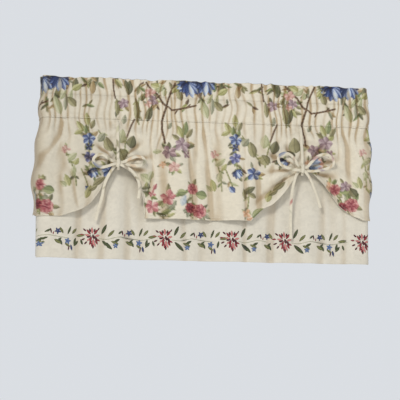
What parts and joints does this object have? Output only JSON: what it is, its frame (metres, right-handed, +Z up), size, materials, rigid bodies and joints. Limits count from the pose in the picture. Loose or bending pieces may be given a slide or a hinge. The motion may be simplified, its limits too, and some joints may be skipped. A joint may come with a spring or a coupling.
{
  "type": "tie-up valance",
  "caption": "Gathered cloth valance with a frilled heading and rod pocket, a printed face panel drawn up by bows, and a plain under panel with an embroidered border below it.",
  "frame": {"origin": "middle of the top edge of the heading, on the plan line midway through its cloth", "axes": "+X to the right across the front as seen from the room, +Y back towards the wall, +Z up"},
  "size_m": [0.8663, 0.0983, 0.457],
  "materials": {
    "printed_cloth": "soft cotton with a tone-on-tone mottle and a printed garden flower pattern",
    "plain_cloth": "plain cream cotton with an embroidered flower and leaf border above the hem"
  },
  "bodies": {
    "root": {"heading": "printed_cloth", "face_panel": "printed_cloth", "under_panel": "plain_cloth", "left_front_tie": "printed_cloth", "left_back_tie": "printed_cloth", "right_front_tie": "printed_cloth", "right_back_tie": "printed_cloth"}
  },
  "joints": []
}
